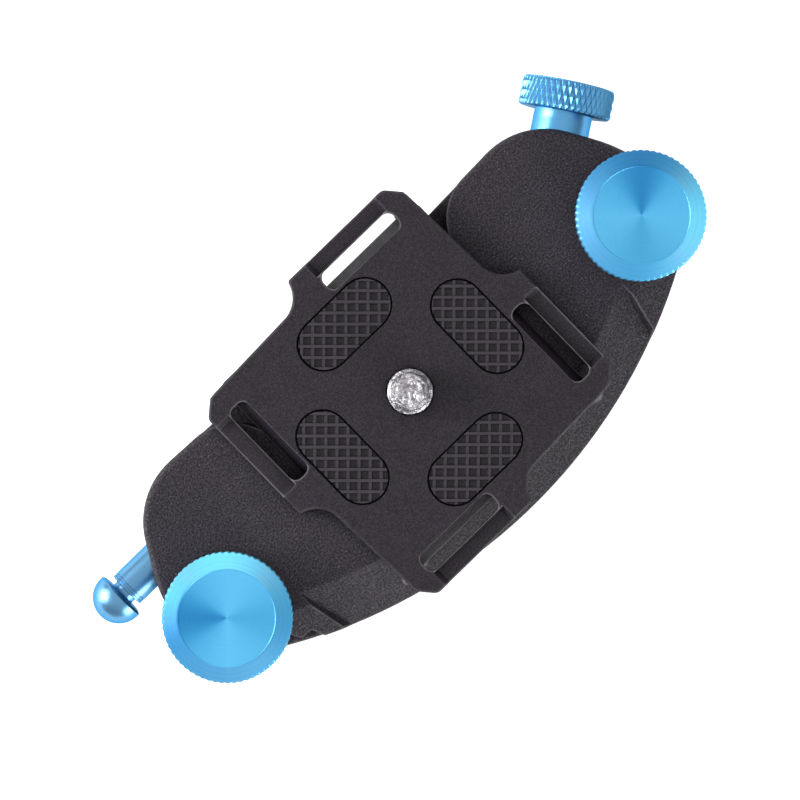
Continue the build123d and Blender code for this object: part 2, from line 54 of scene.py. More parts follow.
# ------------------------------------------------------------------ mesh helpers
def finish_mesh(name, verts, faces, mat, angle=32.0, place=None):
    me = bpy.data.meshes.new(name)
    me.from_pydata([(x * MM, y * MM, z * MM) for x, y, z in verts], [], faces)
    me.validate()
    bm = bmesh.new()
    bm.from_mesh(me)
    bmesh.ops.remove_doubles(bm, verts=bm.verts, dist=1e-7)
    bmesh.ops.recalc_face_normals(bm, faces=bm.faces)
    bm.to_mesh(me)
    bm.free()
    me.shade_smooth()
    me.set_sharp_from_angle(angle=math.radians(angle))
    me.materials.append(mat)
    ob = bpy.data.objects.new(name, me)
    scene.collection.objects.link(ob)
    if place is not None:
        ob.matrix_world = place
    return ob


def lathe(name, prof, n, mat, mod=None, angle=32.0, place=None):
    """Turned solid about local Z. prof is a list of (r, z) from the axis to the axis;
    mod(k, theta, r, z) may return another (r, z) for a point."""
    verts, faces, rings = [], [], []
    for k, (r, z) in enumerate(prof):
        if r <= 1e-6:
            rings.append([len(verts)])
            verts.append((0.0, 0.0, z))
            continue
        ring = []
        for i in range(n):
            t = 2 * math.pi * i / n
            rr, zz = mod(k, t, r, z) if mod else (r, z)
            ring.append(len(verts))
            verts.append((rr * math.cos(t), rr * math.sin(t), zz))
        rings.append(ring)
    for a, b in zip(rings, rings[1:]):
        if len(a) == 1 and len(b) == 1:
            continue
        for i in range(n):
            j = (i + 1) % n
            if len(a) == 1:
                faces.append((a[0], b[j], b[i]))
            elif len(b) == 1:
                faces.append((a[i], a[j], b[0]))
            else:
                faces.append((a[i], a[j], b[j], b[i]))
    return finish_mesh(name, verts, faces, mat, angle, place)


def at(x, y, z=0.0):
    return Matrix.Translation((x * MM, y * MM, z * MM))


# ------------------------------------------------------------------ material helpers
def new_mat(name):
    m = bpy.data.materials.new(name)
    m.use_nodes = True
    nt = m.node_tree
    bs = nt.nodes["Principled BSDF"]
    return m, nt, bs


def add(nt, kind, **kw):
    n = nt.nodes.new(kind)
    for k, v in kw.items():
        if k in n.inputs:
            n.inputs[k].default_value = v
        else:
            setattr(n, k, v)
    return n


def ramp(nt, fac, stops):
    r = nt.nodes.new("ShaderNodeValToRGB")
    el = r.color_ramp.elements
    el[0].position, el[0].color = stops[0]
    el[1].position, el[1].color = stops[-1]
    for p, c in stops[1:-1]:
        e = el.new(p)
        e.color = c
    nt.links.new(fac, r.inputs["Fac"])
    return r


def grey(v):
    return (v, v, v, 1.0)


def blasted(name, base, light, grain_mm, bump_um, rough=(0.5, 0.7), speck=0.0, round_mm=0.0, spec=0.3, painted_edge_highlight=None,
            grain=(0.36, 0.66), gate_mm=0.0, painted_recess_shade=None):
    """Sand-blasted black coating: fine grain in height, roughness and tone, with a few bright specks."""
    m, nt, bs = new_mat(name)
    tc = add(nt, "ShaderNodeTexCoord")
    n1 = add(nt, "ShaderNodeTexNoise", Scale=1000.0 / grain_mm, Detail=3.0, Roughness=0.65)
    n2 = add(nt, "ShaderNodeTexNoise", Scale=1000.0 / (grain_mm * 14), Detail=4.0, Roughness=0.55)
    vo = add(nt, "ShaderNodeTexVoronoi", Scale=1000.0 / (grain_mm * 1.9), Randomness=1.0)
    for n in (n1, n2, vo):
        nt.links.new(tc.outputs["Object"], n.inputs["Vector"])
    c1 = ramp(nt, n1.outputs["Fac"], [(grain[0], (*base, 1.0)), (grain[1], (*light, 1.0))])
    tone = add(nt, "ShaderNodeMix", data_type="RGBA", blend_type="MULTIPLY")
    tone.inputs["Factor"].default_value = 1.0
    c2 = ramp(nt, n2.outputs["Fac"], [(0.3, grey(0.86)), (0.7, grey(1.1))])
    nt.links.new(c1.outputs["Color"], tone.inputs["A"])
    nt.links.new(c2.outputs["Color"], tone.inputs["B"])
    out = tone.outputs["Result"]
    if speck > 0:
        sp = ramp(nt, vo.outputs["Distance"], [(0.0, grey(1.0)), (0.20, grey(0.0))])
        gate = ramp(nt, n1.outputs["Fac"], [(0.52, grey(0.0)), (0.64, grey(1.0))])
        mul = add(nt, "ShaderNodeMath", operation="MULTIPLY")
        nt.links.new(sp.outputs["Color"], mul.inputs[0])
        nt.links.new(gate.outputs["Color"], mul.inputs[1])
        mx = add(nt, "ShaderNodeMix", data_type="RGBA", blend_type="MIX")
        nt.links.new(mul.outputs[0], mx.inputs["Factor"])
        nt.links.new(out, mx.inputs["A"])
        mx.inputs["B"].default_value = (speck, speck * 0.93, speck, 1.0)
        out = mx.outputs["Result"]
    if painted_edge_highlight:
        # painted highlight: thin light lines along the convex edges
        ao = add(nt, "ShaderNodeAmbientOcclusion", samples=8, inside=True, only_local=True)
        ao.inputs["Distance"].default_value = painted_edge_highlight[0] * MM
        er = ramp(nt, ao.outputs["AO"], [(0.52, grey(1.0)), (0.90, grey(0.0))])
        eg = ramp(nt, n2.outputs["Fac"], [(0.35, grey(0.55)), (0.6, grey(1.0))])
        em = add(nt, "ShaderNodeMath", operation="MULTIPLY")
        nt.links.new(er.outputs["Color"], em.inputs[0])
        nt.links.new(eg.outputs["Color"], em.inputs[1])
        if gate_mm:
            # no painted edge highlight round the recesses in the middle
            ab = add(nt, "ShaderNodeVectorMath", operation="ABSOLUTE")
            nt.links.new(tc.outputs["Object"], ab.inputs[0])
            sp3 = add(nt, "ShaderNodeSeparateXYZ")
            nt.links.new(ab.outputs[0], sp3.inputs[0])
            mxy = add(nt, "ShaderNodeMath", operation="MAXIMUM")
            nt.links.new(sp3.outputs["X"], mxy.inputs[0])
            nt.links.new(sp3.outputs["Y"], mxy.inputs[1])
            gt = add(nt, "ShaderNodeMath", operation="GREATER_THAN")
            nt.links.new(mxy.outputs[0], gt.inputs[0])
            gt.inputs[1].default_value = gate_mm * MM
            em2 = add(nt, "ShaderNodeMath", operation="MULTIPLY")
            nt.links.new(em.outputs[0], em2.inputs[0])
            nt.links.new(gt.outputs[0], em2.inputs[1])
            em = em2
        ex = add(nt, "ShaderNodeMix", data_type="RGBA", blend_type="MIX")
        nt.links.new(em.outputs[0], ex.inputs["Factor"])
        nt.links.new(out, ex.inputs["A"])
        ex.inputs["B"].default_value = (painted_edge_highlight[1], painted_edge_highlight[1] * 0.92, painted_edge_highlight[1], 1.0)
        out = ex.outputs["Result"]
    if painted_recess_shade:
        # painted shade: base colour and specular darkened in the recesses by ambient occlusion
        ca = add(nt, "ShaderNodeAmbientOcclusion", samples=4)
        ca.inputs["Distance"].default_value = painted_recess_shade[0] * MM
        cr = ramp(nt, ca.outputs["AO"], [(0.15, grey(painted_recess_shade[1])), (0.70, grey(1.0))])
        cm = add(nt, "ShaderNodeMix", data_type="RGBA", blend_type="MULTIPLY")
        cm.inputs["Factor"].default_value = 1.0
        nt.links.new(out, cm.inputs["A"])
        nt.links.new(cr.outputs["Color"], cm.inputs["B"])
        out = cm.outputs["Result"]
        cs = add(nt, "ShaderNodeMath", operation="MULTIPLY")
        nt.links.new(cr.outputs["Color"], cs.inputs[0])
        cs.inputs[1].default_value = spec
        nt.links.new(cs.outputs[0], bs.inputs["Specular IOR Level"])
    nt.links.new(out, bs.inputs["Base Color"])
    rr = ramp(nt, n1.outputs["Fac"], [(0.3, grey(rough[1])), (0.7, grey(rough[0]))])
    nt.links.new(rr.outputs["Color"], bs.inputs["Roughness"])
    bp = add(nt, "ShaderNodeBump", Strength=1.0, Distance=bump_um * 1e-6)
    nt.links.new(n1.outputs["Fac"], bp.inputs["Height"])
    if round_mm:
        bv = add(nt, "ShaderNodeBevel", samples=8)
        bv.inputs["Radius"].default_value = round_mm * MM
        nt.links.new(bv.outputs[0], bp.inputs["Normal"])
    nt.links.new(bp.outputs["Normal"], bs.inputs["Normal"])
    if not painted_recess_shade:
        bs.inputs["Specular IOR Level"].default_value = spec
    return m


def turned(name, base, rough, ring_mm, bump_um, aniso=0.0, metallic=1.0, tone=0.12, axis="Z", round_mm=0.0, rim=None, phase=0.0,
           edge_tint=None):
    """Turned metal: fine rings about the local axis in tone and height. With a list of four
    colours for base (towards -X, -Y, +X, +Y) the tone also changes round the axis, as painted
    reflection: light and dark wedges that stand in for highlights on the spun finish."""
    m, nt, bs = new_mat(name)
    tc = add(nt, "ShaderNodeTexCoord")
    sep = add(nt, "ShaderNodeSeparateXYZ")
    nt.links.new(tc.outputs["Object"], sep.inputs[0])
    vl = add(nt, "ShaderNodeVectorMath", operation="LENGTH")
    cb = add(nt, "ShaderNodeCombineXYZ")
    nt.links.new(sep.outputs["X"], cb.inputs["X"])
    nt.links.new(sep.outputs["Y"], cb.inputs["Y"])
    nt.links.new(cb.outputs[0], vl.inputs[0])
    # radius and height together give one coordinate across both faces and sides
    sm = add(nt, "ShaderNodeMath", operation="ADD")
    nt.links.new(vl.outputs["Value"], sm.inputs[0])
    nt.links.new(sep.outputs["Z"], sm.inputs[1])
    pos = add(nt, "ShaderNodeCombineXYZ")
    nt.links.new(sm.outputs[0], pos.inputs["X"])
    nr = add(nt, "ShaderNodeTexNoise", Scale=1000.0 / ring_mm, Detail=4.0, Roughness=0.7)
    nt.links.new(pos.outputs[0], nr.inputs["Vector"])
    ng = add(nt, "ShaderNodeTexNoise", Scale=5200.0, Detail=2.0, Roughness=0.6)
    nt.links.new(tc.outputs["Object"], ng.inputs["Vector"])
    mixn = add(nt, "ShaderNodeMath", operation="MULTIPLY_ADD")
    nt.links.new(ng.outputs["Fac"], mixn.inputs[0])
    mixn.inputs[1].default_value = 0.25
    nt.links.new(nr.outputs["Fac"], mixn.inputs[2])
    if isinstance(base, list):
        tone_r = ramp(nt, mixn.outputs[0], [(0.45, grey(1 - tone)), (0.8, grey(1 + tone))])
        ang = add(nt, "ShaderNodeMath", operation="ARCTAN2")
        nt.links.new(sep.outputs["Y"], ang.inputs[0])
        nt.links.new(sep.outputs["X"], ang.inputs[1])
        frac = add(nt, "ShaderNodeMath", operation="MULTIPLY_ADD")
        nt.links.new(ang.outputs[0], frac.inputs[0])
        frac.inputs[1].default_value = 0.5 / math.pi
        frac.inputs[2].default_value = 0.5 - phase / (2 * math.pi)
        wrap = add(nt, "ShaderNodeMath", operation="FRACT")
        nt.links.new(frac.outputs[0], wrap.inputs[0])
        frac = wrap
        stops = [(pp, (*c, 1.0)) for pp, c in base]
        round_r = ramp(nt, frac.outputs[0], stops)
        round_r.color_ramp.interpolation = "B_SPLINE"
        mul = add(nt, "ShaderNodeMix", data_type="RGBA", blend_type="MULTIPLY")
        mul.inputs["Factor"].default_value = 1.0
        nt.links.new(round_r.outputs["Color"], mul.inputs["A"])
        nt.links.new(tone_r.outputs["Color"], mul.inputs["B"])
        if rim:
            # painted reflection: the bevel outside the face has its own light and dark wedges
            rim_r = ramp(nt, frac.outputs[0], [(pp, (*c, 1.0)) for pp, c in rim[1]])
            rim_r.color_ramp.interpolation = "B_SPLINE"
            far = add(nt, "ShaderNodeMath", operation="GREATER_THAN")
            nt.links.new(vl.outputs["Value"], far.inputs[0])
            far.inputs[1].default_value = rim[0] * MM
            half = add(nt, "ShaderNodeMix", data_type="RGBA", blend_type="MULTIPLY")
            nt.links.new(far.outputs[0], half.inputs["Factor"])
            nt.links.new(mul.outputs["Result"], half.inputs["A"])
            nt.links.new(rim_r.outputs["Color"], half.inputs["B"])
            # the ramp holds half of each gain
            back = add(nt, "ShaderNodeMath", operation="MULTIPLY_ADD")
            nt.links.new(far.outputs[0], back.inputs[0])
            back.inputs[1].default_value = 1.0
            back.inputs[2].default_value = 1.0
            vm = add(nt, "ShaderNodeVectorMath", operation="SCALE")
            nt.links.new(half.outputs["Result"], vm.inputs[0])
            nt.links.new(back.outputs[0], vm.inputs["Scale"])
            nt.links.new(vm.outputs[0], bs.inputs["Base Color"])
        else:
            nt.links.new(mul.outputs["Result"], bs.inputs["Base Color"])
    else:
        lo = tuple(c * (1 - tone) for c in base)
        hi = tuple(min(1.0, c * (1 + tone)) for c in base)
        cr = ramp(nt, mixn.outputs[0], [(0.45, (*lo, 1.0)), (0.8, (*hi, 1.0))])
        nt.links.new(cr.outputs["Color"], bs.inputs["Base Color"])
    rr = ramp(nt, mixn.outputs[0], [(0.4, grey(rough + 0.06)), (0.85, grey(rough - 0.05))])
    nt.links.new(rr.outputs["Color"], bs.inputs["Roughness"])
    bp = add(nt, "ShaderNodeBump", Strength=1.0, Distance=bump_um * 1e-6)
    nt.links.new(mixn.outputs[0], bp.inputs["Height"])
    if round_mm:
        bv = add(nt, "ShaderNodeBevel", samples=6)
        bv.inputs["Radius"].default_value = round_mm * MM
        nt.links.new(bv.outputs[0], bp.inputs["Normal"])
    nt.links.new(bp.outputs["Normal"], bs.inputs["Normal"])
    bs.inputs["Metallic"].default_value = metallic
    if edge_tint:
        bs.inputs["Specular Tint"].default_value = (*edge_tint, 1.0)
    if aniso:
        bs.inputs["Anisotropic"].default_value = aniso
        tg = add(nt, "ShaderNodeTangent", direction_type="RADIAL", axis=axis)
        nt.links.new(tg.outputs[0], bs.inputs["Tangent"])
    return m


# both coats carry a painted highlight along the convex edges and painted shade in the recesses
BLACK = blasted("coat_black", (0.0035, 0.0015, 0.0045), (0.0400, 0.0320, 0.0435), 0.27, 170, (0.42, 0.7), speck=0.26, round_mm=0.5, painted_edge_highlight=(0.40, 0.17),
                grain=(0.41, 0.61), painted_recess_shade=(2.5, 0.25))
PLATE = blasted("anodised_black", (0.0060, 0.0032, 0.0073), (0.0220, 0.0160, 0.0245), 0.22, 85, (0.46, 0.64), speck=0.12, round_mm=0.12, painted_edge_highlight=(0.36, 0.15),
                grain=(0.42, 0.60), gate_mm=16.85, painted_recess_shade=(2.5, 0.25))
RUBBER = blasted("pad_rubber", (0.019, 0.0145, 0.021), (0.036, 0.029, 0.038), 0.16, 14, (0.5, 0.7), spec=0.4)
LINER = blasted("liner_rubber", (0.012, 0.012, 0.0125), (0.022, 0.022, 0.023), 0.22, 25, (0.65, 0.85))


def lin(c, k=1.0):
    return tuple((((v / 255.0 + 0.055) / 1.055) ** 2.4) * k for v in c)


# painted reflection: the knob face and bevel tones below are light and dark wedges round the axis, standing in for
# highlights on the spun blue metal; some bevel values exceed 1
KB = 0.76
SHEEN_LIGHT_B, SHEEN_MID_B = lin((96, 200, 251), KB), lin((60, 168, 221), KB)
BLUE_PAINTED_SHEEN = [(0.0, SHEEN_LIGHT_B), (0.14, lin((86, 190, 241), KB)), (0.25, SHEEN_MID_B), (0.36, lin((86, 190, 241), KB)),
             (0.50, SHEEN_LIGHT_B), (0.63, lin((74, 180, 236), KB)), (0.69, lin((38, 150, 211), KB)), (0.75, lin((14, 130, 194), KB)),
             (0.81, lin((38, 150, 211), KB)), (0.87, lin((74, 180, 236), KB)), (1.0, SHEEN_LIGHT_B)]
RIM_PAINTED_SHEEN = [(0.0, (0.47, 0.38, 0.41)), (0.13, (0.47, 0.40, 0.43)), (0.25, (0.45, 0.46, 0.48)), (0.36, (0.75, 0.58, 0.53)),
            (0.44, (1.9, 0.82, 0.69)), (0.50, (2.1, 0.84, 0.70)), (0.56, (1.9, 0.82, 0.69)), (0.63, (0.75, 0.55, 0.50)), (0.75, (0.38, 0.38, 0.40)), (0.90, (0.44, 0.38, 0.41)),
            (1.0, (0.47, 0.38, 0.41))]
PAINTED_SHEEN_AT = {"right": -A_IMG, "left": -A_IMG + math.pi / 2}      # where the painted reflection wedges start, as the knobs stand
BLUE_FACE = {side: turned("blue_spun_painted_sheen_" + side, BLUE_PAINTED_SHEEN, 0.34, 0.10, 4.0, aniso=0.3, metallic=0.4, tone=0.14,
                          rim=(FACE_R + 0.05, RIM_PAINTED_SHEEN), phase=PAINTED_SHEEN_AT[side]) for side in ("right", "left")}
BLUE_TURNED = turned("blue_turned", (0.125, 0.30, 0.49), 0.32, 0.12, 4.0, metallic=0.95, tone=0.10, edge_tint=(0.22, 0.50, 0.78))
BLUE_KNURL = turned("blue_knurled", (0.115, 0.36, 0.63), 0.31, 0.16, 6.0, metallic=0.9, tone=0.12, edge_tint=(0.22, 0.50, 0.78))
STEEL = turned("steel_turned", (0.56, 0.56, 0.58), 0.32, 0.14, 5.0, tone=0.10)
BRIGHT = turned("steel_bright", (0.47, 0.45, 0.48), 0.16, 0.30, 8.0, tone=0.12)


def worn(mat, size_mm, lo, bump_um):
    """Uneven darker patches and dents over a turned metal."""
    nt = mat.node_tree
    bs = nt.nodes["Principled BSDF"]
    tc = add(nt, "ShaderNodeTexCoord")
    n = add(nt, "ShaderNodeTexNoise", Scale=1000.0 / size_mm, Detail=5.0, Roughness=0.62, Distortion=1.2)
    nt.links.new(tc.outputs["Object"], n.inputs["Vector"])
    cr = ramp(nt, n.outputs["Fac"], [(0.36, grey(lo)), (0.50, grey(0.85)), (0.62, grey(1.25))])
    old = bs.inputs["Base Color"].links[0].from_socket
    mx = add(nt, "ShaderNodeMix", data_type="RGBA", blend_type="MULTIPLY")
    mx.inputs["Factor"].default_value = 1.0
    nt.links.new(old, mx.inputs["A"])
    nt.links.new(cr.outputs["Color"], mx.inputs["B"])
    nt.links.new(mx.outputs["Result"], bs.inputs["Base Color"])
    b2 = add(nt, "ShaderNodeBump", Strength=1.0, Distance=bump_um * 1e-6)
    nt.links.new(n.outputs["Fac"], b2.inputs["Height"])
    oldn = bs.inputs["Normal"].links[0].from_socket
    nt.links.new(oldn, b2.inputs["Normal"])
    nt.links.new(b2.outputs["Normal"], bs.inputs["Normal"])


worn(BRIGHT, 1.1, 0.42, 420)
NYLON, _nt, _bs = new_mat("nylon")
_n = add(_nt, "ShaderNodeTexNoise", Scale=2500.0, Detail=3.0)
_tc = add(_nt, "ShaderNodeTexCoord")
_nt.links.new(_tc.outputs["Object"], _n.inputs["Vector"])
_r = ramp(_nt, _n.outputs["Fac"], [(0.3, (0.70, 0.69, 0.64, 1)), (0.7, (0.82, 0.81, 0.77, 1))])
_nt.links.new(_r.outputs["Color"], _bs.inputs["Base Color"])
_bs.inputs["Roughness"].default_value = 0.5


def use(node, mat):
    o = nodes[node]
    o.data.materials.clear()
    o.data.materials.append(mat)
    for p in o.data.polygons:
        p.material_index = 0


for n, m in (("front_body", BLACK), ("back_plate", BLACK), ("quick_release_plate", PLATE),
             ("front_liner", LINER), ("back_liner", LINER), ("fixed_post", STEEL), ("pivot_post", STEEL),
             ("pivot_ring", STEEL), ("knob_washer_left", STEEL), ("knob_washer_right", STEEL),
             ("screw_ring", STEEL), ("release_spring", STEEL), ("pin_stop_screw", STEEL), ("lock_pad", NYLON)):
    use(n, m)

# ------------------------------------------------------------------ clamp knobs
SER_N, SER_D = 62, 0.11


def bevel_z(r):
    return KNOB_Z1 - (r - FACE_R) * (1.0 / (KNOB_R - 0.08 - FACE_R))


knob_prof = [(0, KNOB_Z0), (2.95, KNOB_Z0), (5.0, KNOB_Z0), (5.2, KNOB_Z0 + 0.15), (5.2, KNOB_Z0 + 0.5), (7.9, KNOB_Z0 + 0.5),
             (8.3, KNOB_Z0 + 0.55), (8.7, KNOB_Z0 + 0.8), (KNOB_R, KNOB_Z0 + 1.1), (KNOB_R, KNOB_Z0 + 2.0), (KNOB_R, KNOB_Z0 + 3.0),
             (KNOB_R, KNOB_Z1 - 1.08), (KNOB_R - 0.07, KNOB_Z1 - 0.99), (8.4, 0), (7.9, 0), (7.4, 0), (6.95, 0), (FACE_R + 0.08, 0),
             (FACE_R, KNOB_Z1 - 0.015), (FACE_R - 0.08, KNOB_Z1 - 0.07), (5.8, KNOB_Z1 - 0.10), (4.8, KNOB_Z1 - 0.135),
             (3.6, KNOB_Z1 - 0.18), (2.4, KNOB_Z1 - 0.22), (1.2, KNOB_Z1 - 0.26), (0.3, KNOB_Z1 - 0.29), (0, KNOB_Z1 - 0.295)]
knob_prof = [(r, z if z else bevel_z(r)) for r, z in knob_prof]


def knob_mod(k, t, r, z):
    d = SER_D * (0.5 - 0.5 * math.cos(SER_N * t)) ** 1.4
    if 8.65 < r and z < KNOB_Z1 - 1.05:
        return r - d, z
    if 8.75 < r:
        rr = r - d
        return rr, bevel_z(rr)
    return r, z


for side, sg in (("right", 1), ("left", -1)):
    k = lathe("knob_" + side, knob_prof, SER_N * 12, BLUE_FACE[side], knob_mod, 25.0, at(sg * KX, KY))
    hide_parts("clamp_knob_" + side)
    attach(k, "knob_" + side)


# ------------------------------------------------------------------ threads
def thread_rings(r_out, depth, pitch, z0, z1, per=10):
    """Profile rings for a thread between two heights; the helix comes from the mod."""
    n = max(2, int(round((z1 - z0) / pitch * per)))
    return [(r_out, z0 + (z1 - z0) * i / n) for i in range(n + 1)]


def thread_mod(r_out, depth, pitch, z0, z1, fade=0.5):
    def mod(k, t, r, z):
        if abs(r - r_out) > 1e-6 or z < z0 - 1e-6 or z > z1 + 1e-6:
            return r, z
        ph = (z / pitch - t / (2 * math.pi)) % 1.0
        v = abs(2 * ph - 1)
        v = min(1.0, max(0.0, (v - 0.06) / 0.88))
        ends = min(1.0, (z - z0) / (fade * pitch), (z1 - z) / (fade * pitch))
        return r_out - depth * v * max(0.0, ends) - depth * (1 - max(0.0, min(1.0, (z1 - z) / (fade * pitch)))) * 0.85, z
    return mod


for side, sg in (("right", 1), ("left", -1)):
    zt, zb = KNOB_Z0 + 3.4, 5.0
    prof = [(0, zb), (2.3, zb), (2.45, zb + 0.01), (2.95, zb + 0.5)] + thread_rings(2.95, 0.5, 1.0, zb + 0.55, 19.2) + \
           [(2.95, 19.3), (2.95, zt), (0, zt)]
    s = lathe("stud_" + side, prof, 48, STEEL, thread_mod(2.95, 0.5, 1.0, zb + 0.55, 19.2), 40.0, at(sg * KX, KY))
    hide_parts("clamp_stud_" + side)
    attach(s, "knob_" + side)

# ------------------------------------------------------------------ camera screw
CAM_R, CAM_TOP = 3.10, 27.6
HZ0, HZ1 = 15.7, 18.1
PITCH = 1.27


def hexr(t, r):
    a = (t + math.pi / 6) % (math.pi / 3) - math.pi / 6
    return r / math.cos(a)


cam_prof = [(0, HZ0 + 1.9), (1.99, HZ0 + 1.9), (2.0, HZ0 + 0.02), (5.7, HZ0), (6.0, HZ0 + 0.08), (6.2, HZ0 + 0.35),
            (6.2, HZ1 - 0.2), (6.05, HZ1), (2.5, HZ1), (2.5, DECK_Z1 - 0.1), (CAM_R - 0.1, DECK_Z1 + 0.05)] + \
    thread_rings(CAM_R, 0.62, PITCH, DECK_Z1 + 0.1, CAM_TOP - 0.75) + \
    [(2.52, CAM_TOP - 0.62), (2.25, CAM_TOP - 0.30), (2.18, CAM_TOP - 0.26), (2.05, CAM_TOP - 0.30), (1.98, CAM_TOP - 0.27),
     (1.85, CAM_TOP - 0.06), (1.75, CAM_TOP), (1.5, CAM_TOP - 0.03), (1.1, CAM_TOP - 0.06), (0.5, CAM_TOP - 0.1), (0, CAM_TOP - 0.1)]
_tm = thread_mod(CAM_R, 0.62, PITCH, DECK_Z1 + 0.1, CAM_TOP - 0.75, 0.35)


def cam_mod(k, t, r, z):
    if r < 2.005 and z < HZ0 + 2.0:
        return hexr(t, r), z
    return _tm(k, t, r, z)


cam_screw = lathe("camera_screw_threaded", cam_prof, 120, BRIGHT, cam_mod, 34.0)
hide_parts("camera_screw")
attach(cam_screw, "camera_screw")

# ------------------------------------------------------------------ release pin
PIN_RIM, PIN_APEX, PIN_HEAD, PIN_R = 48.4, 52.35, 3.63, 2.64
dome_r = ((PIN_APEX - PIN_RIM) ** 2 + PIN_HEAD ** 2) / (2 * (PIN_APEX - PIN_RIM))
dome_c = PIN_APEX - dome_r
pin_prof = [(0, 17.0), (1.0, 17.0), (1.3, 17.3), (1.3, 20.1), (0.75, 20.6), (0.75, 23.6), (1.3, 24.2), (1.3, 32.0),
            (2.5, 32.0), (PIN_R, 32.1), (PIN_R, 33.6), (1.9, 33.62), (1.9, 38.58), (PIN_R, 38.6), (PIN_R, 41.5), (PIN_R, 44.5),
            (PIN_R, 46.3), (PIN_R - 0.09, 46.36), (PIN_R - 0.09, 46.44), (PIN_R, 46.5), (PIN_R, 46.68), (PIN_R - 0.09, 46.74),
            (PIN_R - 0.09, 46.82), (PIN_R, 46.88), (PIN_R, 47.1), (PIN_R - 0.1, 47.2), (1.8, 47.26), (1.75, 47.9), (1.9, 48.08),
            (3.2, 48.12), (3.52, 48.26)]
a0 = math.atan2(PIN_HEAD, PIN_RIM - dome_c)
for i in range(0, 18):
    a = a0 * (1 - i / 18.0)
    pin_prof.append((dome_r * math.sin(a), dome_c + dome_r * math.cos(a)))
pin_prof.append((0, PIN_APEX))
place = Matrix.Translation((0, PIN_Y * MM, PIN_Z * MM)) @ Matrix.Rotation(-math.pi / 2, 4, "Y")
pin = lathe("release_pin_turned", pin_prof, 72, BLUE_TURNED, None, 32.0, place)
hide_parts("release_pin")
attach(pin, "release_pin")

# ------------------------------------------------------------------ lock screw
KN, KL, KD = 47, 2.6, 0.32          # diamonds round, their length, groove depth
H0, H1, HR, NR = 3.4, 7.5, 6.5, 4.05
lock_prof = [(0, -20.1), (2.3, -20.1)] + thread_rings(2.9, 0.5, 1.0, -19.7, -2.2) + \
    [(2.9, -2.0), (2.9, -1.4), (NR - 0.15, -1.4), (NR, -1.25), (NR, 0.5), (NR, 2.0), (NR, H0 - 0.05), (NR + 0.05, H0),
     (HR - 0.55, H0), (HR - 0.27, H0 + 0.05)]
body = [(HR, H0 + 0.3 + (H1 - H0 - 0.6) * i / 28) for i in range(29)]
lock_prof += [(HR - 0.02, H0 + 0.28)] + body + [(HR - 0.02, H1 - 0.28), (HR - 0.27, H1 - 0.05), (HR - 0.55, H1), (4.0, H1),
                                               (2.5, H1 - 0.04), (1.0, H1 - 0.06), (0, H1 - 0.06)]
_lt = thread_mod(2.9, 0.5, 1.0, -19.7, -2.2)


def lock_mod(k, t, r, z):
    if r > HR - 0.05:
        f = t * KN / (2 * math.pi)
        a, b = (f + z / KL) % 1.0, (f - z / KL) % 1.0
        v = max(abs(2 * a - 1), abs(2 * b - 1))
        e = min(1.0, (z - H0 - 0.1) / 0.3, (H1 - 0.1 - z) / 0.3)
        return HR - KD * v ** 1.25 - 0.10 * (1 - e), z
    return _lt(k, t, r, z)


axis = Vector((math.cos(LOCK_A), math.sin(LOCK_A), 0))
lp = axis.to_track_quat("Z", "Y").to_matrix().to_4x4()
lp.translation = Vector(LOCK_O) * MM
lock = lathe("lock_screw_knurled", lock_prof, KN * 10, BLUE_KNURL, lock_mod, 50.0, lp)
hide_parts("lock_screw")
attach(lock, "lock_screw")


# ------------------------------------------------------------------ grip pads
def stadium(length, width, n=20):
    r = width / 2
    c = length / 2 - r
    pts = []
    for i in range(n + 1):
        a = -math.pi / 2 + math.pi * i / n
        pts.append((c + r * math.cos(a), r * math.sin(a)))
    for i in range(n + 1):
        a = math.pi / 2 + math.pi * i / n
        pts.append((-c + r * math.cos(a), r * math.sin(a)))
    return pts


def prism(bm, pts, z0, z1, inset=0.0):
    n = len(pts)
    cx = sum(p[0] for p in pts) / n
    cy = sum(p[1] for p in pts) / n
    lo = [bm.verts.new((x * MM, y * MM, z0 * MM)) for x, y in pts]
    hi = []
    for x, y in pts:
        d = math.hypot(x - cx, y - cy)
        k = 1 - inset / d if d > 0 else 1
        hi.append(bm.verts.new(((cx + (x - cx) * k) * MM, (cy + (y - cy) * k) * MM, z1 * MM)))
    bm.faces.new(list(reversed(lo)))
    bm.faces.new(hi)
    for i in range(n):
        j = (i + 1) % n
        bm.faces.new((lo[i], lo[j], hi[j], hi[i]))


def bar(bm, cx, cy, ang, length, w0, w1, z0, z1):
    """Long ridge with sloping sides, centred at cx, cy and turned by ang."""
    ca, sa = math.cos(ang), math.sin(ang)

    def p(u, v, z):
        return bm.verts.new(((cx + u * ca - v * sa) * MM, (cy + u * sa + v * ca) * MM, z * MM))
    h = length / 2
    lo = [p(-h, -w0 / 2, z0), p(h, -w0 / 2, z0), p(h, w0 / 2, z0), p(-h, w0 / 2, z0)]
    hi = [p(-h, -w1 / 2, z1), p(h, -w1 / 2, z1), p(h, w1 / 2, z1), p(-h, w1 / 2, z1)]
    bm.faces.new(list(reversed(lo)))
    bm.faces.new(hi)
    for i in range(4):
        j = (i + 1) % 4
        bm.faces.new((lo[i], lo[j], hi[j], hi[i]))


def to_object(bm, name):
    me = bpy.data.meshes.new(name)
    bmesh.ops.recalc_face_normals(bm, faces=bm.faces)
    bm.to_mesh(me)
    bm.free()
    ob = bpy.data.objects.new(name, me)
    scene.collection.objects.link(ob)
    return ob


def boolean(ob, other, op):
    md = ob.modifiers.new("b", "BOOLEAN")
    md.operation, md.object, md.solver = op, other, "EXACT"
    md.use_self = True
    dg = bpy.context.evaluated_depsgraph_get()
    me = bpy.data.meshes.new_from_object(ob.evaluated_get(dg))
    ob.modifiers.clear()
    ob.data = me
    bpy.data.objects.remove(other)
    return ob


PAD_PITCH_H, PAD_PITCH_V = 1.52, 1.51
PAD_BOTTOM, PAD_TOP = DECK_Z1 - 1.0, DECK_Z1 + 0.06


